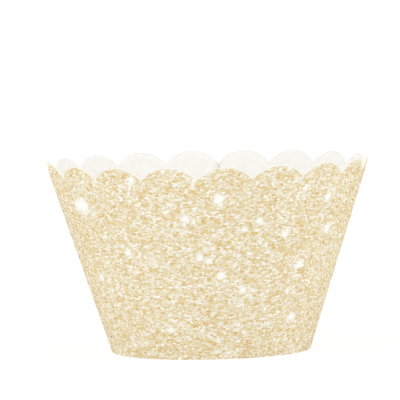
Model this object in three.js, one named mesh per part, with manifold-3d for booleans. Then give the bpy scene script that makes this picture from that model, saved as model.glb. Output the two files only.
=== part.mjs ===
// Cupcake wrapper: one die-cut band of glitter card with a scalloped top edge, rolled into an open cone.
// Its ends lap at the back, where a tongue on the outer end goes through a slot and locks behind the wall.
// Millimetres, +Z up. The origin is on the cone's axis, in the plane that the wrapper stands on.
import Module from 'manifold-3d';
import * as THREE from 'three';
import { mergeVertices } from 'three/addons/utils/BufferGeometryUtils.js';

// Cone, measured on the card's outer face
const baseDiameter = 52;
const rimDiameter = 82.4; // at the valleys between the scallops
const rimHeight = 46.6; // height of those valleys
const cardThickness = 0.5;

// Scalloped edge
const scallopCount = 18;
const scallopRise = 3.5; // from a valley to a peak, along the card
const stepsPerScallop = 16;

// Lap at the back
const lapScallops = 1; // the ends overlap by this many scallops, so that their edges fall in line
const rampScallops = 1; // the outer end climbs over the inner one along this many
const layerGap = 0.2; // air between two layers of card

// Tongue and slot, sized along and around the card
const lockHeight = 24; // middle of the tongue and the slot, up the card from the base
const neckWidth = 11;
const neckLength = 0.8; // from the outer end's edge to the slot
const bendRadius = 1; // inside each of the neck's two bends
const slotClearance = 0.5; // at each side of the neck, and past it
const catchWidth = 1; // the head reaches this far past each end of the slot
const catchLength = 1; // the neck widens into the head along this
const headLength = 6;
const headCorner = 3;
const stepsPerBend = 8;

const baseRadius = baseDiameter / 2;
const rimRadius = rimDiameter / 2;
const flare = Math.atan2(rimRadius - baseRadius, rimHeight); // of the wall, from upright
const slantToRim = rimHeight / Math.cos(flare);
const fullTurn = 2 * Math.PI;
const pitch = fullTurn / scallopCount;
const lap = lapScallops * pitch;
const ramp = rampScallops * pitch;
const outerEnd = fullTurn + lap; // the inner end is at turn 0
const backOfCone = Math.PI / 2; // the lap is centred on +Y

const layerStep = cardThickness + layerGap;
const bendLine = bendRadius + cardThickness / 2; // the card's mid-line in a bend
const bendAngle = Math.acos(1 - layerStep / bendLine); // one bend in and one back cross the wall
const bendLength = bendLine * bendAngle;
const slotWidth = 2 * bendLine * Math.sin(bendAngle);
const neckReach = neckWidth / 2;
const slotReach = neckReach + slotClearance;
const headReach = slotReach + catchWidth;
const catchStart = neckLength + 2 * bendLength + slotClearance;
const headEnd = catchStart + catchLength + headLength;
const lockRadius = baseRadius + lockHeight * Math.sin(flare);

const { lerp, clamp, smoothstep } = THREE.MathUtils;

// A place on the rolled card: turn goes round from the inner end, slant up the card from the base, and
// lift outwards from the cone's outer face.
function rolled(turn, slant, lift) {
  const radius = baseRadius + slant * Math.sin(flare) + lift * Math.cos(flare);
  const angle = backOfCone - lap / 2 + turn;
  const height = slant * Math.cos(flare) - lift * Math.sin(flare);
  return new THREE.Vector3(radius * Math.cos(angle), radius * Math.sin(angle), height);
}

// Each scallop is an arc of a circle over one pitch of the rim.
function topEdge(turn) {
  const halfChord = (rimRadius * pitch) / 2;
  const arcRadius = (halfChord ** 2 + scallopRise ** 2) / (2 * scallopRise);
  const fromPeak = (turn / pitch - Math.floor(turn / pitch) - 0.5) * 2 * halfChord;
  return slantToRim + scallopRise - arcRadius + Math.sqrt(arcRadius ** 2 - fromPeak ** 2);
}

// The card is laid out by stations along its length, each with its mid-line's place and tilt, and the
// heights of its rows. On the band those are its edges and, between them, the neck's. The outer end
// climbs over the inner one.
function bandStation(turn) {
  const climb = layerStep * smoothstep(turn, fullTurn - ramp, fullTurn);
  const heights = [0, lockHeight - neckReach, lockHeight + neckReach, topEdge(turn)];
  return { turn, lift: climb - cardThickness / 2, tilt: 0, heights, standing: true };
}

// Half the tongue's width, at a length from the band's outer end.
function tongueReach(length) {
  const reach = lerp(neckReach, headReach, smoothstep(length, catchStart, catchStart + catchLength));
  const intoCorner = Math.max(0, length - headEnd + headCorner);
  return reach - headCorner + Math.sqrt(Math.max(0, headCorner ** 2 - intoCorner ** 2));
}

// The tongue runs on outside the wall, goes through the slot by one bend in and one bend back, and lies
// along the wall's inside.
function tongueStation(length) {
  const bent = (length - neckLength) / bendLine;
  const bendIn = clamp(bent, 0, bendAngle);
  const bendBack = clamp(bent - bendAngle, 0, bendAngle);
  const left = bendAngle - bendBack;
  const run = Math.sin(bendIn) + Math.sin(bendAngle) - Math.sin(left) - bendIn - bendBack;
  const drop = 1 - Math.cos(bendIn) + Math.cos(left) - Math.cos(bendAngle);
  const reach = tongueReach(length);
  return {
    turn: outerEnd + (length + run * bendLine) / lockRadius,
    lift: layerStep - cardThickness / 2 - drop * bendLine,
    tilt: bendIn - bendBack,
    heights: [lockHeight - reach, lockHeight + reach],
    standing: false,
  };
}

function steps(from, to, count) {
  return Array.from({ length: count }, (_, i) => lerp(from, to, (i + 1) / count));
}

function bandStations() {
  return [0, ...steps(0, outerEnd, (scallopCount + lapScallops) * stepsPerScallop)].map(bandStation);
}

// The tongue starts as the middle of the band's last step, so that the two join as one card.
function tongueStations() {
  const root = bandStations().at(-2);
  const lengths = [
    0,
    neckLength,
    ...steps(neckLength, neckLength + 2 * bendLength, 2 * stepsPerBend),
    ...steps(catchStart, catchStart + catchLength, stepsPerBend / 2),
    ...steps(0, Math.PI / 2, stepsPerBend).map((a) => headEnd - headCorner * (1 - Math.sin(a))),
  ];
  return [{ ...root, heights: root.heights.slice(1, 3), standing: false }].concat(
    lengths.map(tongueStation),
  );
}

// A station's corner. Where the card stands on its edge, the edge is cut level, so that it rests flat.
function cardCorner({ turn, lift, tilt, heights, standing }, row, across) {
  const offset = cardThickness * (across - 0.5);
  const faceLift = lift + offset * Math.cos(tilt);
  const slant = standing && row === 0 ? faceLift * Math.tan(flare) : heights[row];
  return rolled(turn + (offset * Math.sin(tilt)) / lockRadius, slant, faceLift);
}

// The slot starts where the neck starts to bend, and goes through the inner layer only.
function slotCorner(along, up, across) {
  const start = outerEnd - fullTurn + neckLength / lockRadius;
  const turn = start + (along * slotWidth) / lockRadius;
  return rolled(turn, lockHeight + slotReach * (2 * up - 1), layerStep * (2 * across - 1));
}

const wasm = await Module();
wasm.setup();

// A flat box of so many steps along and up, with each corner moved to its place.
function shapedSolid(along, up, corner) {
  const flat = new THREE.BoxGeometry(along, up, 1, along, up, 1);
  const points = flat.getAttribute('position');
  for (let i = 0; i < points.count; i += 1) {
    const at = corner(points.getX(i) + along / 2, points.getY(i) + up / 2, points.getZ(i) + 0.5);
    points.setXYZ(i, at.x, at.y, at.z);
  }
  flat.deleteAttribute('normal');
  flat.deleteAttribute('uv');
  const closed = mergeVertices(flat);
  const vertProperties = new Float32Array(closed.getAttribute('position').array);
  const triVerts = new Uint32Array(closed.getIndex().array);
  return new wasm.Manifold(new wasm.Mesh({ numProp: 3, vertProperties, triVerts }));
}

function cardSolid(stations) {
  return shapedSolid(stations.length - 1, stations[0].heights.length - 1, (along, row, across) =>
    cardCorner(stations[Math.round(along)], Math.round(row), across),
  );
}

function wrapperGeometry() {
  const slot = shapedSolid(1, 1, slotCorner);
  const card = cardSolid(bandStations()).subtract(slot).add(cardSolid(tongueStations()));
  const { vertProperties, triVerts } = card.getMesh();
  const geometry = new THREE.BufferGeometry();
  geometry.setAttribute('position', new THREE.BufferAttribute(vertProperties, 3));
  geometry.setIndex(new THREE.BufferAttribute(triVerts, 1));
  geometry.computeVertexNormals();
  return geometry;
}

const glitterCard = new THREE.MeshStandardMaterial({
  color: '#ebdebe',
  roughness: 0.4,
  metalness: 0.35,
});

const wrapper = new THREE.Mesh(wrapperGeometry(), glitterCard);
wrapper.name = 'wrapper';

const cupcakeWrapper = new THREE.Group();
cupcakeWrapper.add(wrapper);

export default cupcakeWrapper;
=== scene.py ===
import math
import random

import bmesh
import bpy
from mathutils import Matrix, Vector


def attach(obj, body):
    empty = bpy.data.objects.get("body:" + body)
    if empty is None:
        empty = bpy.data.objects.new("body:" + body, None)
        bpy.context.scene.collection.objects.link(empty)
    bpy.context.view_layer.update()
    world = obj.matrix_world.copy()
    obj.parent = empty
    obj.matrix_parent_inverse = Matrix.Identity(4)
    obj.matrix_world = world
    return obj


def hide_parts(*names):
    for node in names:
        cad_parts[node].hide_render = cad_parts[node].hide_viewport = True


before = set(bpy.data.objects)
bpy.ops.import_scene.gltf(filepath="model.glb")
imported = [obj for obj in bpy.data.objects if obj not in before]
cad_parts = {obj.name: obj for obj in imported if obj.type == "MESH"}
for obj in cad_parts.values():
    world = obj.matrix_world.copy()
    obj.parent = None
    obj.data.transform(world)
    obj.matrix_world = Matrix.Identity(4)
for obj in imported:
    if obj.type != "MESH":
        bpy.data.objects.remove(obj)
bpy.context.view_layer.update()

mm = 0.001
fullTurn = 2 * math.pi
tiny = 1e-6


def clamp(value, low, high):
    return max(low, min(high, value))


def smooth(value, low, high):
    share = clamp((value - low) / (high - low), 0, 1)
    return share * share * (3 - 2 * share)


def linked(name, mesh):
    thing = bpy.data.objects.new(name, mesh)
    bpy.context.scene.collection.objects.link(thing)
    return thing


def meshFrom(bm, name):
    mesh = bpy.data.meshes.new(name)
    bm.to_mesh(mesh)
    bm.free()
    return mesh


def finishNamed(name):
    material = bpy.data.materials.new(name)
    material.use_nodes = True
    return material, material.node_tree.nodes, material.node_tree.links


def mathNode(nodes, links, operation, first, second):
    node = nodes.new("ShaderNodeMath")
    node.operation = operation
    for socket, value in zip(node.inputs, (first, second)):
        if isinstance(value, (int, float)):
            socket.default_value = value
        else:
            links.new(value, socket)
    return node.outputs[0]


# colour ramp from stops that each give a place and a colour
def rampOf(nodes, stops):
    ramp = nodes.new("ShaderNodeValToRGB")
    ends = ramp.color_ramp.elements
    for element, (position, colour) in ((ends[0], stops[0]), (ends[1], stops[-1])):
        element.position = position
        element.color = (*colour, 1)
    for position, colour in stops[1:-1]:
        ramp.color_ramp.elements.new(position).color = (*colour, 1)
    return ramp


# The sheet, in mm, rolled as the solid model has it. Its outer face is measured.
card = {
    "baseRadius": 26.0,
    "rimRadius": 41.2,  # at the valleys of the edge
    "rimHeight": 46.6,
    "thickness": 0.5,
    "scallops": 18,
    "scallopRise": 3.5,
    "lapScallops": 1,
    "rampScallops": 1,  # the outer end climbs over the inner one along this many
    "layerGap": 0.2,
    "lockHeight": 24.0,  # of the tongue and its slot, up the card
    "neckWidth": 11.0,
    "neckLength": 0.8,
    "bendRadius": 1.0,
    "slotClearance": 0.5,
    "catchWidth": 1.0,
    "catchLength": 1.0,
    "headLength": 6.0,
    "headCorner": 3.0,
    "columnsPerScallop": 22,
    "rowHeight": 0.55,
    "neckStep": 0.4,  # between the tongue's rows of corners, on its neck
    "bendStep": 0.2,
    "catchStep": 0.25,
    "headStep": 0.5,
    "cornerSteps": 10,
    "footReach": 0.3,  # corners no higher than this stand on the floor
}

flare = math.atan2(card["rimRadius"] - card["baseRadius"], card["rimHeight"])
slantToRim = card["rimHeight"] / math.cos(flare)
pitch = fullTurn / card["scallops"]
lap = card["lapScallops"] * pitch
outerEnd = fullTurn + lap  # the inner end is at turn 0
layerStep = card["thickness"] + card["layerGap"]
lockRadius = card["baseRadius"] + card["lockHeight"] * math.sin(flare)
bendLine = card["bendRadius"] + card["thickness"] / 2
bendAngle = math.acos(1 - layerStep / bendLine)
neckReach = card["neckWidth"] / 2
slotReach = neckReach + card["slotClearance"]
headReach = slotReach + card["catchWidth"]
slotStart = lap + card["neckLength"] / lockRadius
slotEnd = slotStart + 2 * bendLine * math.sin(bendAngle) / lockRadius
crossed = card["neckLength"] + 2 * bendLine * bendAngle  # where the tongue is through the wall
catchStart = crossed + card["slotClearance"]
catchEnd = catchStart + card["catchLength"]
headEnd = catchEnd + card["headLength"]


# angle round the axis at which a turn of the sheet lies, the lap being centred on +Y
def angleOf(turn):
    return math.pi / 2 - lap / 2 + turn


def rolled(turn, slant, lift):
    radius = card["baseRadius"] + slant * math.sin(flare) + lift * math.cos(flare)
    angle = angleOf(turn)
    height = slant * math.cos(flare) - lift * math.sin(flare)
    return Vector((radius * math.cos(angle), radius * math.sin(angle), height)) * mm


def topEdge(turn):
    halfChord = card["rimRadius"] * pitch / 2
    arcRadius = (halfChord**2 + card["scallopRise"] ** 2) / (2 * card["scallopRise"])
    fromPeak = (turn / pitch % 1 - 0.5) * 2 * halfChord
    return slantToRim + card["scallopRise"] - arcRadius + math.sqrt(arcRadius**2 - fromPeak**2)


# how far the outer face stands off the cone, as the outer end climbs over the inner one
def climb(turn):
    return layerStep * smooth(turn, fullTurn - card["rampScallops"] * pitch, fullTurn)


# half the tongue's width, at a length from the band's outer end
def tongueReach(length):
    reach = neckReach + (headReach - neckReach) * smooth(length, catchStart, catchEnd)
    corner = card["headCorner"]
    intoCorner = max(0, length - headEnd + corner)
    return reach - corner + math.sqrt(max(0, corner**2 - intoCorner**2))


# outer face of the tongue, which dips through the slot by one bend in and one bend back
def tonguePlace(length, slant):
    bent = (length - card["neckLength"]) / bendLine
    bendIn = clamp(bent, 0, bendAngle)
    bendBack = clamp(bent - bendAngle, 0, bendAngle)
    left = bendAngle - bendBack
    run = math.sin(bendIn) + math.sin(bendAngle) - math.sin(left) - bendIn - bendBack
    drop = 1 - math.cos(bendIn) + math.cos(left) - math.cos(bendAngle)
    tilt = bendIn - bendBack
    half = card["thickness"] / 2
    turn = outerEnd + (length + run * bendLine + half * math.sin(tilt)) / lockRadius
    return rolled(turn, slant, layerStep - half - drop * bendLine + half * math.cos(tilt))


def spaced(start, end, step):
    count = max(1, round((end - start) / step))
    return [start + (end - start) * (i + 1) / count for i in range(count)]


# turns of the grid's columns, with one at each valley and at each side of the slot
def columnTurns():
    valleys = {i * pitch for i in range(card["scallops"] + card["lapScallops"] + 1)}
    stops = sorted(valleys | {slotStart, slotEnd})
    turns = [0.0]
    for start, end in zip(stops, stops[1:]):
        turns += spaced(start, end, pitch / card["columnsPerScallop"])
    return turns


# share of the way up each band of rows, the bands' ends being the slot's, the neck's and the edge's
def rowPlaces():
    lock = card["lockHeight"]
    stops = [0, lock - slotReach, lock - neckReach, lock + neckReach, lock + slotReach, slantToRim]
    places = [(0, 0.0)]
    for band, (start, end) in enumerate(zip(stops, stops[1:])):
        places += [(band, share) for share in spaced(0, 1, card["rowHeight"] / (end - start))]
    return stops, places


def slantOf(stops, place, turn):
    band, share = place
    low = stops[band] if band else climb(turn) * math.tan(flare)
    high = stops[band + 1] if band + 2 < len(stops) else topEdge(turn)
    return low + (high - low) * share


# the flat band, with turns along X and slants along Y
def layOut(bm):
    turns = columnTurns()
    stops, places = rowPlaces()
    bmesh.ops.create_grid(bm, x_segments=len(turns) - 1, y_segments=len(places) - 1, size=0.5)
    for vert in bm.verts:
        turn = turns[round((vert.co.x + 0.5) * (len(turns) - 1))]
        place = places[round((vert.co.y + 0.5) * (len(places) - 1))]
        vert.co = (turn, slantOf(stops, place, turn), 0)


def cutSlot(bm):
    inside = []
    for face in bm.faces:
        middle = face.calc_center_median()
        if slotStart < middle.x < slotEnd and abs(middle.y - card["lockHeight"]) < slotReach:
            inside.append(face)
    bmesh.ops.delete(bm, geom=inside, context="FACES")


# lengths of the tongue's rows of corners, which close up at its bends, its catch and its end
def tongueLengths():
    lengths = spaced(0, card["neckLength"], card["neckStep"])
    lengths += spaced(card["neckLength"], crossed, card["bendStep"])
    lengths += spaced(crossed, catchStart, card["headStep"])
    lengths += spaced(catchStart, catchEnd, card["catchStep"])
    corner, steps = card["headCorner"], card["cornerSteps"]
    lengths += spaced(catchEnd, headEnd - corner, card["headStep"])
    for i in range(1, steps + 1):
        lengths.append(headEnd - corner * (1 - math.sin(math.pi / 2 * i / steps)))
    return lengths


def drawTongue(bm):
    lock = card["lockHeight"]
    edges = []
    for edge in bm.edges:
        ends = [vert.co for vert in edge.verts]
        atEnd = all(abs(co.x - outerEnd) < tiny for co in ends)
        if atEnd and abs((ends[0].y + ends[1].y) / 2 - lock) < neckReach:
            edges.append(edge)
    reachBefore = neckReach
    for length in tongueLengths():
        made = bmesh.ops.extrude_edge_only(bm, edges=edges)["geom"]
        reach = tongueReach(length)
        for vert in (item for item in made if isinstance(item, bmesh.types.BMVert)):
            slant = lock + (vert.co.y - lock) * reach / reachBefore
            vert.co = (outerEnd + length / lockRadius, slant, 0)
        edges = [item for item in made if isinstance(item, bmesh.types.BMEdge)]
        reachBefore = reach


# keeps each corner's place on the flat sheet, in mm, then rolls the sheet up
def rollUp(bm):
    flat = bm.verts.layers.float_vector.new("flat")
    for vert in bm.verts:
        turn, slant = vert.co.x, vert.co.y
        vert[flat] = (turn * lockRadius, slant, 0)
        if turn > outerEnd + tiny:
            vert.co = tonguePlace((turn - outerEnd) * lockRadius, slant)
        else:
            vert.co = rolled(turn, slant, climb(turn))
    bmesh.ops.recalc_face_normals(bm, faces=bm.faces)
    probe = min(bm.faces, key=lambda face: face.calc_center_median().y)  # it faces the front
    if probe.normal.y > 0:
        bmesh.ops.reverse_faces(bm, faces=bm.faces)


def sheetMesh():
    bm = bmesh.new()
    layOut(bm)
    cutSlot(bm)
    drawTongue(bm)
    rollUp(bm)
    return meshFrom(bm, "rolledSheet")


def applied(thing):
    graph = bpy.context.evaluated_depsgraph_get()
    mesh = bpy.data.meshes.new_from_object(thing.evaluated_get(graph))
    thing.modifiers.clear()
    thing.data = mesh


# Where the card's faces lie on its colour picture, as shares of the picture's side
picture = {
    "strips": 4,  # the sheet's length is cut into these
    "outerHeight": 0.39,  # of each of the two rows of strips that the outer face fills
    "innerFoot": 0.79,
    "innerHeight": 0.17,
    "edgeFoot": 0.97,
    "edgeRow": 0.0075,
    "edgeWidth": 0.005,
    "edgeMargin": 0.002,
    "stripMargin": 0.006,  # of a strip
    "roundShare": 0.48,  # of a row, for half a turn round the slot or the tongue
    "touch": 0.01,  # mm within which a face lies along an end
}


# share of the way round a centre at which a corner of a face lies
def shareRound(middle, corner, centre):
    angles = [math.atan2(y - centre[1], x - centre[0]) for x, y in (middle, corner)]
    apart = (angles[1] - angles[0] + math.pi) % fullTurn - math.pi
    return 0.5 + picture["roundShare"] * (angles[0] + apart) / math.pi


# Row of the picture for a face of the cut edge, and a corner's place along it. The foot has a row, the
# scallops another, the two ends share the third, and the slot and the tongue share the last.
def edgePlace(middle, corner, length, height):
    touch = picture["touch"]
    lock = card["lockHeight"]
    end = outerEnd * lockRadius
    slot = ((slotStart + slotEnd) / 2 * lockRadius, lock)
    slotHalf = (slotEnd - slotStart) / 2 * lockRadius
    if min(abs(middle[0]), abs(middle[0] - end)) < touch:
        return 2, (corner[1] / height + (middle[0] > touch)) / 2
    if abs(middle[0] - slot[0]) < slotHalf + touch and abs(middle[1] - lock) < slotReach + touch:
        return 3, shareRound(middle, corner, slot) / 2
    if middle[0] > end:
        return 3, (1 + shareRound(middle, corner, (end + headEnd / 2, lock))) / 2
    return int(middle[1] > lock), corner[0] / length


# lays the outer face out in two rows of strips, with the inside and then the edges above them
def bakeMap(mesh):
    flat = mesh.attributes["flat"].data
    outer = set()
    for face in mesh.polygons:
        if face.material_index == 0:
            outer.update(face.vertices)
    length = outerEnd * lockRadius + headEnd
    height = slantToRim + card["scallopRise"]
    strips, margin = picture["strips"], picture["stripMargin"]
    layer = mesh.uv_layers.new(name="OFBake")
    for face in mesh.polygons:
        corners = [(flat[v].vector.x, flat[v].vector.y) for v in face.vertices]
        middle = [sum(values) / len(corners) for values in zip(*corners)]
        strip = int(clamp(middle[0] / length * strips, 0, strips - 1))
        for loop, vertex, (x, y) in zip(face.loop_indices, face.vertices, corners):
            along = margin + (x / length * strips - strip) * (1 - 2 * margin)
            up = y / height
            if face.material_index == 0:
                row = strip // 2 + margin + up * (1 - 2 * margin)
                uv = ((strip % 2 + along) / 2, row * picture["outerHeight"])
            elif face.material_index == 1:
                uv = ((strip + along) / strips, picture["innerFoot"] + up * picture["innerHeight"])
            else:
                row, share = edgePlace(middle, (x, y), length, height)
                across = picture["edgeWidth"] if vertex in outer else 0.0
                uv = (
                    picture["edgeMargin"] + (1 - 2 * picture["edgeMargin"]) * share,
                    picture["edgeFoot"] + row * picture["edgeRow"] + across,
                )
            layer.data[loop].uv = uv


# Painted glints, white highlights painted into the coat's colour: degrees round from -Y towards +X,
# height in mm and size in mm
paintedGlints = {
    "front": [
        (-60, 40, 2.7), (-62, 40, 3.4), (-65, 40, 2.7),
        (-34, 47, 1.5), (-15, 37, 1.7), (-2, 42, 2.2), (45, 41, 1.9), (32, 44, 1.3), (14, 36, 1.5),
        (8, 34, 1.3), (26, 32, 1.6), (50, 33, 1.7), (66, 30, 1.6), (37, 24, 1.9), (-42, 28, 1.6),
        (-10, 27, 1.4), (-6, 26, 1.2), (-1, 22, 1.6), (-64, 21, 1.5), (9, 18, 1.6), (39, 10, 1.9),
        (-27, 8, 1.5),
    ],
    "behind": 26,
    "behindSpread": 90,  # degrees to each side of the lap's inner end
    "behindMargins": (4, 2),  # from the foot and from the valleys
    "behindSizes": (1.2, 2.3),
    "fade": (0.0, 1.08),  # of a glint's size, from its middle to where it ends
    "seed": 3,
}


# all the painted glints as turn, slant and size
def paintedGlintPlaces():
    draw = random.Random(paintedGlints["seed"])
    places = []
    for degrees, height, size in paintedGlints["front"]:
        turn = (math.radians(degrees - 90) - angleOf(0)) % fullTurn
        places.append((turn, height / math.cos(flare), size))
    spread = math.radians(paintedGlints["behindSpread"])
    low, high = paintedGlints["behindMargins"]
    for _ in range(paintedGlints["behind"]):
        turn = draw.uniform(-spread, spread) % fullTurn
        slant = draw.uniform(low, slantToRim - high)
        places.append((turn, slant, draw.uniform(*paintedGlints["behindSizes"])))
    return places


# how much a painted glint whitens a place on the sheet: 1 in it, 0 well away from all
def paintedGlow(turn, slant, places):
    best = 0.0
    radius = card["baseRadius"] + slant * math.sin(flare)
    for glintTurn, glintSlant, size in places:
        apart = (turn - glintTurn + math.pi) % fullTurn - math.pi
        away = math.hypot(apart * radius, slant - glintSlant) / size
        best = max(best, 1 - smooth(away, *paintedGlints["fade"]))
    return best


# painted highlight: white in each glint, fading to nothing round it
def paintedGlintWhite(nodes, links, where, places):
    brightest = 0.0
    for turn, slant, size in places:
        away = nodes.new("ShaderNodeVectorMath")
        away.operation = "DISTANCE"
        links.new(where, away.inputs[0])
        away.inputs[1].default_value = rolled(turn, slant, climb(turn))
        fade = nodes.new("ShaderNodeMapRange")
        fade.interpolation_type = "SMOOTHSTEP"
        fade.inputs["From Min"].default_value = paintedGlints["fade"][0] * size * mm
        fade.inputs["From Max"].default_value = paintedGlints["fade"][1] * size * mm
        fade.inputs["To Min"].default_value = 1
        fade.inputs["To Max"].default_value = 0
        links.new(away.outputs["Value"], fade.inputs["Value"])
        brightest = mathNode(nodes, links, "MAXIMUM", brightest, fade.outputs["Result"])
    return brightest


# The coat on the sheet's outer face, in mm
coat = {
    "seed": 11,
    "bumpHeight": 0.014,
    "sidewaysShare": 0.3,  # of the grid's step, by which a corner is moved along the sheet
    "largeGrain": (0.94, 0.46),  # across and up
    "largeTurn": (0.1, 0.15, 0.0),
    "largeShare": 0.5,  # of the shade, the small grains giving the rest
    "smallGrain": (0.6, 0.33),
    "smallTurn": (-0.2, 0.1, 0.4),
    "swayScale": 450,  # of the waves that bend the grains out of level
    "swayDetail": 1,
    "sway": 0.6,
    "champagne": [  # from the darkest grains to the lightest
        (0.1, (0.735, 0.530, 0.214)),
        (0.3, (0.787, 0.642, 0.368)),
        (0.5, (0.828, 0.738, 0.532)),
        (0.68, (0.875, 0.845, 0.725)),
        (0.86, (0.980, 0.978, 0.955)),
    ],
    "warmths": [  # from pink to a greenish yellow, laid over the champagne
        (0.0, (1.0, 0.955, 1.0)),
        (0.5, (1.0, 0.985, 0.96)),
        (1.0, (0.985, 1.0, 0.86)),
    ],
    "paleLimit": 1.2,  # a colour keeps clear of the warmths by its shade, less this much
    "roughness": 0.42,
    "metallic": 0.25,
    "edgeTint": (0.95, 0.84, 0.60, 1),  # of what the metal reflects where the eye grazes it
}


# gives the band's outer face its relief, and leaves the tongue smooth
def roughen(mesh):
    draw = random.Random(coat["seed"])
    outer, rest = set(), set()
    for face in mesh.polygons:
        (rest if face.material_index else outer).update(face.vertices)
    side = card["rowHeight"] * coat["sidewaysShare"]
    normals = [vert.normal.copy() for vert in mesh.vertices]
    flat = mesh.attributes["flat"].data
    for index in sorted(outer - rest):
        if flat[index].vector.x > outerEnd * lockRadius:
            continue
        normal = normals[index]
        move = Vector([draw.uniform(-side, side) for _ in range(3)])
        move -= normal * move.dot(normal)
        move += normal * draw.uniform(-1, 1) * coat["bumpHeight"]
        mesh.vertices[index].co += move * mm


# grains of one size, each with a shade and a warmth of its own between 0 and 1
def grains(nodes, links, source, grainSize, turned):
    breadth, height = (side * mm for side in grainSize)
    place = nodes.new("ShaderNodeMapping")
    place.inputs["Scale"].default_value = (1 / breadth, 1 / breadth, 1 / height)
    place.inputs["Rotation"].default_value = turned
    links.new(source, place.inputs["Vector"])
    cells = nodes.new("ShaderNodeTexVoronoi")
    cells.inputs["Scale"].default_value = 1
    links.new(place.outputs["Vector"], cells.inputs["Vector"])
    shade = nodes.new("ShaderNodeSeparateColor")
    links.new(cells.outputs["Color"], shade.inputs["Color"])
    return shade.outputs["Red"], shade.outputs["Green"]


# champagne of a shade, moved a little by its warmth, and the palest least
def glitterColour(nodes, links, shade, warmth):
    ramp = rampOf(nodes, coat["champagne"])
    links.new(shade, ramp.inputs["Fac"])
    share = mathNode(nodes, links, "SUBTRACT", coat["paleLimit"], shade)
    share.node.use_clamp = True
    tints = rampOf(nodes, coat["warmths"])
    links.new(warmth, tints.inputs["Fac"])
    mix = nodes.new("ShaderNodeMix")
    mix.data_type = "RGBA"
    mix.blend_type = "MULTIPLY"
    links.new(share, mix.inputs["Factor"])
    links.new(ramp.outputs["Color"], mix.inputs["A"])
    links.new(tints.outputs["Color"], mix.inputs["B"])
    return mix.outputs["Result"]


# shine of tinted metal alone, so that the sides of the cone keep their colour
def shineOf(shader, finish):
    shader.inputs["Roughness"].default_value = finish["roughness"]
    shader.inputs["Metallic"].default_value = finish["metallic"]
    shader.inputs["Specular IOR Level"].default_value = 0.0
    shader.inputs["Specular Tint"].default_value = coat["edgeTint"]


def glitterCoat(places):
    material, nodes, links = finishNamed("glitter_coat")
    shader = nodes["Principled BSDF"]
    where = nodes.new("ShaderNodeTexCoord").outputs["Object"]
    sway = nodes.new("ShaderNodeTexNoise")
    sway.inputs["Scale"].default_value = coat["swayScale"]
    sway.inputs["Detail"].default_value = coat["swayDetail"]
    links.new(where, sway.inputs["Vector"])
    swayed = nodes.new("ShaderNodeVectorMath")
    swayed.operation = "MULTIPLY_ADD"
    swayed.inputs[1].default_value = (coat["sway"] * mm,) * 3
    links.new(sway.outputs["Color"], swayed.inputs[0])
    links.new(where, swayed.inputs[2])
    source = swayed.outputs[0]
    large, _ = grains(nodes, links, source, coat["largeGrain"], coat["largeTurn"])
    small, warmth = grains(nodes, links, source, coat["smallGrain"], coat["smallTurn"])
    largePart = mathNode(nodes, links, "MULTIPLY", large, coat["largeShare"])
    smallPart = mathNode(nodes, links, "MULTIPLY", small, 1 - coat["largeShare"])
    both = mathNode(nodes, links, "ADD", largePart, smallPart)
    # painted glints: each grain's shade is pushed towards white round the glints
    unshone = mathNode(nodes, links, "SUBTRACT", 1, both)
    paintedShine = mathNode(nodes, links, "MULTIPLY", unshone, paintedGlintWhite(nodes, links, where, places))
    shadeWithPaintedGlints = mathNode(nodes, links, "ADD", both, paintedShine)
    links.new(glitterColour(nodes, links, shadeWithPaintedGlints, warmth), shader.inputs["Base Color"])
    shineOf(shader, coat)
    return material


# The card's smooth white back, with the faint cloud of its fibres
plainSide = {
    "cloudScale": 900,
    "cloudDetail": 4,
    "whites": [(0.3, (0.86, 0.845, 0.80)), (0.7, (0.91, 0.90, 0.87))],
    "bumpStrength": 0.15,
    "bumpDepth": 0.02,  # mm
    "roughness": 0.75,
}

# The card's cut edge
cutSide = {
    "fibreScale": 4000,
    "creams": [(0.35, (0.84, 0.79, 0.69)), (0.65, (0.89, 0.86, 0.79))],
    "roughness": 0.85,
}


def plainCard():
    material, nodes, links = finishNamed("plain_card")
    shader = nodes["Principled BSDF"]
    where = nodes.new("ShaderNodeTexCoord").outputs["Object"]
    cloud = nodes.new("ShaderNodeTexNoise")
    cloud.inputs["Scale"].default_value = plainSide["cloudScale"]
    cloud.inputs["Detail"].default_value = plainSide["cloudDetail"]
    links.new(where, cloud.inputs["Vector"])
    ramp = rampOf(nodes, plainSide["whites"])
    links.new(cloud.outputs["Fac"], ramp.inputs["Fac"])
    links.new(ramp.outputs["Color"], shader.inputs["Base Color"])
    bump = nodes.new("ShaderNodeBump")
    bump.inputs["Strength"].default_value = plainSide["bumpStrength"]
    bump.inputs["Distance"].default_value = plainSide["bumpDepth"] * mm
    links.new(cloud.outputs["Fac"], bump.inputs["Height"])
    links.new(bump.outputs["Normal"], shader.inputs["Normal"])
    shader.inputs["Roughness"].default_value = plainSide["roughness"]
    return material


def cutEdge():
    material, nodes, links = finishNamed("cut_edge")
    shader = nodes["Principled BSDF"]
    where = nodes.new("ShaderNodeTexCoord").outputs["Object"]
    fibres = nodes.new("ShaderNodeTexNoise")
    fibres.inputs["Scale"].default_value = cutSide["fibreScale"]
    links.new(where, fibres.inputs["Vector"])
    ramp = rampOf(nodes, cutSide["creams"])
    links.new(fibres.outputs["Fac"], ramp.inputs["Fac"])
    links.new(ramp.outputs["Color"], shader.inputs["Base Color"])
    shader.inputs["Roughness"].default_value = cutSide["roughness"]
    return material


def makeCard(places):
    thing = linked("wrapper_card", sheetMesh())
    solid = thing.modifiers.new("thickness", "SOLIDIFY")
    solid.thickness = card["thickness"] * mm
    solid.offset = -1
    solid.use_even_offset = True
    solid.material_offset = 1
    solid.material_offset_rim = 2
    for finish in (glitterCoat(places), plainCard(), cutEdge()):
        thing.data.materials.append(finish)
    applied(thing)
    for vert in thing.data.vertices:
        if vert.co.z < card["footReach"] * mm:
            vert.co.z = 0
    roughen(thing.data)
    bakeMap(thing.data)
    for face in thing.data.polygons:
        face.use_smooth = face.material_index == 1
    return thing


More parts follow.
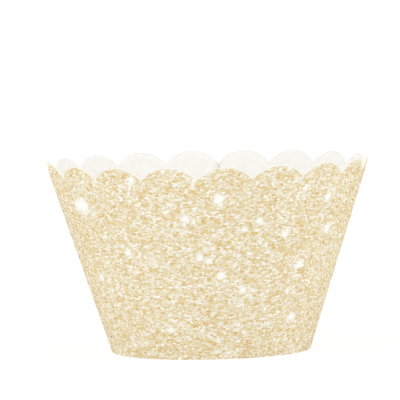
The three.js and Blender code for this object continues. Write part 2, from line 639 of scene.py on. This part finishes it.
# Loose glitter lying on the coat, in mm
flakes = {
    "seed": 5,
    "count": 9000,
    "sides": 6,
    "length": (0.55, 1.15),
    "breadth": (0.35, 0.6),  # of the length
    "thickness": 0.018,
    "lift": (0.0, 0.02),
    "turnSpread": 24,  # degrees from level
    "tiltSpread": 3.5,  # degrees from flat
    "shade": (0.5, 0.27),  # middle and spread
    "palest": 0.9,
    # the round white flakes are a painted sparkle: their white stands in for glints
    "paintedSparkleShare": 0.075,  # round white ones among the rest
    "paintedSparkleLength": (0.45, 0.75),
    "paintedSparkleBreadth": 0.9,
    "paintedGlintClearing": 0.6,  # none lies where a glint is brighter than this
    "edgeMargin": 0.4,
    "slotMargin": 0.5,
    "slotTurnMargin": 0.02,  # radians
    "peakReach": 1.0,  # by which the peaks stand out past the valleys
    "cellShare": 0.3,  # of a cell of the colour picture, from its middle to the flake's corners
    "roughness": 0.25,
    "metallic": 0.4,
}


# one flake, a thin plate of unit width
def flakeMesh():
    bm = bmesh.new()
    bmesh.ops.create_circle(bm, cap_ends=True, segments=flakes["sides"], radius=0.5)
    made = bmesh.ops.extrude_face_region(bm, geom=bm.faces[:])["geom"]
    lifted = [item for item in made if isinstance(item, bmesh.types.BMVert)]
    bmesh.ops.translate(bm, vec=(0, 0, 1), verts=lifted)
    bmesh.ops.recalc_face_normals(bm, faces=bm.faces)
    return meshFrom(bm, "flake")


# place on the sheet, with X along it, Y up it and Z out of it
def surfaceFrame(turn, slant, lift):
    angle = angleOf(turn)
    outwards, down = math.cos(flare), math.sin(flare)
    along = Vector((-math.sin(angle), math.cos(angle), 0))
    out = Vector((math.cos(angle) * outwards, math.sin(angle) * outwards, -down))
    up = out.cross(along)
    turned = Matrix((along, up, out)).transposed().to_4x4()
    return Matrix.Translation(rolled(turn, slant, lift)) @ turned


# whether a flake may lie here, well inside the edge and clear of the slot
def isFree(turn, slant, reach):
    lowest = min(topEdge(turn - reach), topEdge(turn), topEdge(turn + reach))
    if slant > lowest - flakes["edgeMargin"]:
        return False
    fromLock = abs(slant - card["lockHeight"])
    nearSlot = fromLock < slotReach + flakes["slotMargin"]
    return not (nearSlot and turn < slotEnd + flakes["slotTurnMargin"])


# turn, slant, length, breadth and shade of each flake
def flakePlaces(places):
    draw = random.Random(flakes["seed"])
    reach = flakes["length"][1] / 2 / card["baseRadius"]
    widest = card["rimRadius"] + flakes["peakReach"]
    found = []
    while len(found) < flakes["count"]:
        turn = draw.uniform(lap + reach, outerEnd - reach)
        slant = draw.uniform(flakes["edgeMargin"], slantToRim + card["scallopRise"])
        radius = card["baseRadius"] + slant * math.sin(flare)
        if draw.random() > radius / widest or not isFree(turn, slant, reach):
            continue
        # flakes keep out of the painted glints, and those near one are painted paler with it
        paintedShine = paintedGlow(turn, slant, places)
        if paintedShine > flakes["paintedGlintClearing"]:
            continue
        # a share of the flakes are white all over, a painted sparkle
        if draw.random() < flakes["paintedSparkleShare"]:
            length, breadth, shade = draw.uniform(*flakes["paintedSparkleLength"]), flakes["paintedSparkleBreadth"], 1.0
        else:
            shade = clamp(draw.gauss(*flakes["shade"]), 0, flakes["palest"])
            shade += (1 - shade) * paintedShine
            length = draw.uniform(*flakes["length"])
            breadth = draw.uniform(*flakes["breadth"])
        found.append((turn, slant, length, breadth, shade))
    return found


# gives all the corners of a flake its value
def noteEach(mesh, name, values):
    corners = len(mesh.vertices) // len(values)
    spread = [value for value in values for _ in range(corners)]
    mesh.attributes.new(name, "FLOAT", "POINT").data.foreach_set("value", spread)


# gives each flake a cell of its colour picture to itself
def flakeMap(mesh, count):
    across = math.ceil(math.sqrt(count))
    layer = mesh.uv_layers.new(name="OFBake")
    perFlake = len(mesh.polygons) // count
    for face in mesh.polygons:
        row, column = divmod(face.index // perFlake, across)
        for k, loop in enumerate(face.loop_indices):
            angle = fullTurn * k / len(face.vertices)
            u = column + 0.5 + flakes["cellShare"] * math.cos(angle)
            v = row + 0.5 + flakes["cellShare"] * math.sin(angle)
            layer.data[loop].uv = (u / across, v / across)


def looseGlitter():
    material, nodes, links = finishNamed("loose_glitter")
    shader = nodes["Principled BSDF"]
    tint = nodes.new("ShaderNodeAttribute")
    tint.attribute_name = "tint"
    warmth = nodes.new("ShaderNodeAttribute")
    warmth.attribute_name = "warmth"
    colour = glitterColour(nodes, links, tint.outputs["Fac"], warmth.outputs["Fac"])
    links.new(colour, shader.inputs["Base Color"])
    shineOf(shader, flakes)
    return material


def makeFlakes(places):
    draw = random.Random(flakes["seed"] + 1)
    template = flakeMesh()
    spots = flakePlaces(places)
    bm = bmesh.new()
    for turn, slant, length, breadth, _ in spots:
        spin = Matrix.Rotation(math.radians(draw.gauss(0, flakes["turnSpread"])), 4, "Z")
        tilt = Matrix.Rotation(math.radians(draw.gauss(0, flakes["tiltSpread"])), 4, "X")
        lean = Matrix.Rotation(math.radians(draw.gauss(0, flakes["tiltSpread"])), 4, "Y")
        size = Matrix.Diagonal((length * mm, length * breadth * mm, flakes["thickness"] * mm, 1))
        place = surfaceFrame(turn, slant, climb(turn) + draw.uniform(*flakes["lift"]))
        one = template.copy()
        one.transform(place @ tilt @ lean @ spin @ size)
        bm.from_mesh(one)
        bpy.data.meshes.remove(one)
    mesh = meshFrom(bm, "glitterFlakes")
    noteEach(mesh, "tint", [spot[-1] for spot in spots])
    noteEach(mesh, "warmth", [draw.random() for _ in spots])
    flakeMap(mesh, len(spots))
    thing = linked("glitter_flakes", mesh)
    mesh.materials.append(looseGlitter())
    return thing


# Photograph's camera, found from the wrapper's outline in a picture of 400 by 400 pixels
camera = {
    "azimuth": -6.0,  # degrees round from the front
    "elevation": 4.6,
    "roll": -1.28,
    "distance": 1.051,
    "lens": 360.6,
    "sensor": 36.0,
    "clipEnd": 100,
    "pictureSide": 400,
    "middleAt": (209.4, 260.8),  # pixel of the axis, at half the height of the valleys
}


def aimCamera():
    data = bpy.data.cameras.new("camera")
    data.lens = camera["lens"]
    data.sensor_width = camera["sensor"]
    data.clip_end = camera["clipEnd"]
    azimuth, elevation = math.radians(camera["azimuth"]), math.radians(camera["elevation"])
    roll = math.radians(camera["roll"])
    level = math.cos(elevation)
    back = Vector((math.sin(azimuth) * level, -math.cos(azimuth) * level, math.sin(elevation)))
    levelRight = (-back).cross(Vector((0, 0, 1))).normalized()
    upright = levelRight.cross(-back)
    right = levelRight * math.cos(roll) + upright * math.sin(roll)
    up = upright * math.cos(roll) - levelRight * math.sin(roll)
    pixelsPerSlope = camera["lens"] / camera["sensor"] * camera["pictureSide"]
    toRight = (camera["middleAt"][0] - camera["pictureSide"] / 2) / pixelsPerSlope
    toTop = (camera["pictureSide"] / 2 - camera["middleAt"][1]) / pixelsPerSlope
    ahead = (-back - right * toRight - up * toTop).normalized()
    right = (right - ahead * right.dot(ahead)).normalized()
    up = right.cross(ahead)
    turned = Matrix((right, up, -ahead)).transposed().to_4x4()
    middle = Vector((0, 0, card["rimHeight"] / 2 * mm))
    thing = linked("camera", data)
    thing.matrix_world = Matrix.Translation(middle + back * camera["distance"]) @ turned
    bpy.context.scene.camera = thing


# World, lamps and floor, in metres and watts
studio = {
    "worldStrength": 0.98,
    "lamps": {
        "key": {"place": (-1.05, -0.65, 0.7), "size": 0.6, "power": 3.2},
        "fill": {"place": (1.05, -0.5, 0.5), "size": 0.9, "power": 2.4},
    },
    "lampsAimAt": (0, 0, 0.02),
    "floorSize": 24.0,
    "floorColour": (0.82, 0.82, 0.82, 1),
    "floorRoughness": 0.9,
    "floorSpecular": 0.1,
    "floorWhite": 1.08,
    "floorShadow": 0.25,  # how much of the floor's own shading the camera sees
}


def softLamp(name, place, size, power):
    data = bpy.data.lights.new(name, "AREA")
    data.shape = "DISK"
    data.size = size
    data.energy = power
    lamp = linked(name, data)
    lamp.location = place
    towards = Vector(studio["lampsAimAt"]) - Vector(place)
    lamp.rotation_euler = towards.to_track_quat("-Z", "Y").to_euler()


# white for what looks at it, whatever light it gives
def seenWhite(nodes, links):
    path = nodes.new("ShaderNodeLightPath").outputs
    seen = mathNode(nodes, links, "MAXIMUM", path["Is Camera Ray"], path["Is Glossy Ray"])
    return mathNode(nodes, links, "MAXIMUM", seen, path["Is Transmission Ray"])


def lightWorld():
    world = bpy.data.worlds.new("studio")
    bpy.context.scene.world = world
    world.use_nodes = True
    nodes, links = world.node_tree.nodes, world.node_tree.links
    light = nodes["Background"]
    light.inputs["Color"].default_value = (1, 1, 1, 1)
    light.inputs["Strength"].default_value = studio["worldStrength"]
    white = nodes.new("ShaderNodeBackground")
    white.inputs["Color"].default_value = (1, 1, 1, 1)
    white.inputs["Strength"].default_value = 1
    mix = nodes.new("ShaderNodeMixShader")
    links.new(seenWhite(nodes, links), mix.inputs["Fac"])
    links.new(light.outputs[0], mix.inputs[1])
    links.new(white.outputs[0], mix.inputs[2])
    links.new(mix.outputs[0], nodes["World Output"].inputs["Surface"])


def makeFloor():
    bm = bmesh.new()
    bmesh.ops.create_grid(bm, x_segments=1, y_segments=1, size=studio["floorSize"] / 2)
    floor = linked("floor", meshFrom(bm, "floor"))
    material, nodes, links = finishNamed("pale_floor")
    shader = nodes["Principled BSDF"]
    shader.inputs["Base Color"].default_value = studio["floorColour"]
    shader.inputs["Roughness"].default_value = studio["floorRoughness"]
    shader.inputs["Specular IOR Level"].default_value = studio["floorSpecular"]
    white = nodes.new("ShaderNodeEmission")
    white.inputs["Strength"].default_value = studio["floorWhite"]
    mix = nodes.new("ShaderNodeMixShader")
    unshaded = 1 - studio["floorShadow"]
    share = mathNode(nodes, links, "MULTIPLY", seenWhite(nodes, links), unshaded)
    links.new(share, mix.inputs["Fac"])
    links.new(shader.outputs[0], mix.inputs[1])
    links.new(white.outputs[0], mix.inputs[2])
    links.new(mix.outputs[0], nodes["Material Output"].inputs["Surface"])
    floor.data.materials.append(material)


bpy.context.scene.view_settings.view_transform = "Standard"
aimCamera()
lightWorld()
makeFloor()
for name, lamp in studio["lamps"].items():
    softLamp(name, lamp["place"], lamp["size"], lamp["power"])
print("camera, floor and lamps are set")

# places of the glints that are painted white into the coat and the flakes
places = paintedGlintPlaces()
wrapperCard = makeCard(places)
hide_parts("wrapper")
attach(wrapperCard, "root")
print("card rolled:", len(wrapperCard.data.polygons), "faces")

glitterFlakes = makeFlakes(places)
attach(glitterFlakes, "root")
print("glitter laid:", len(glitterFlakes.data.polygons), "faces")
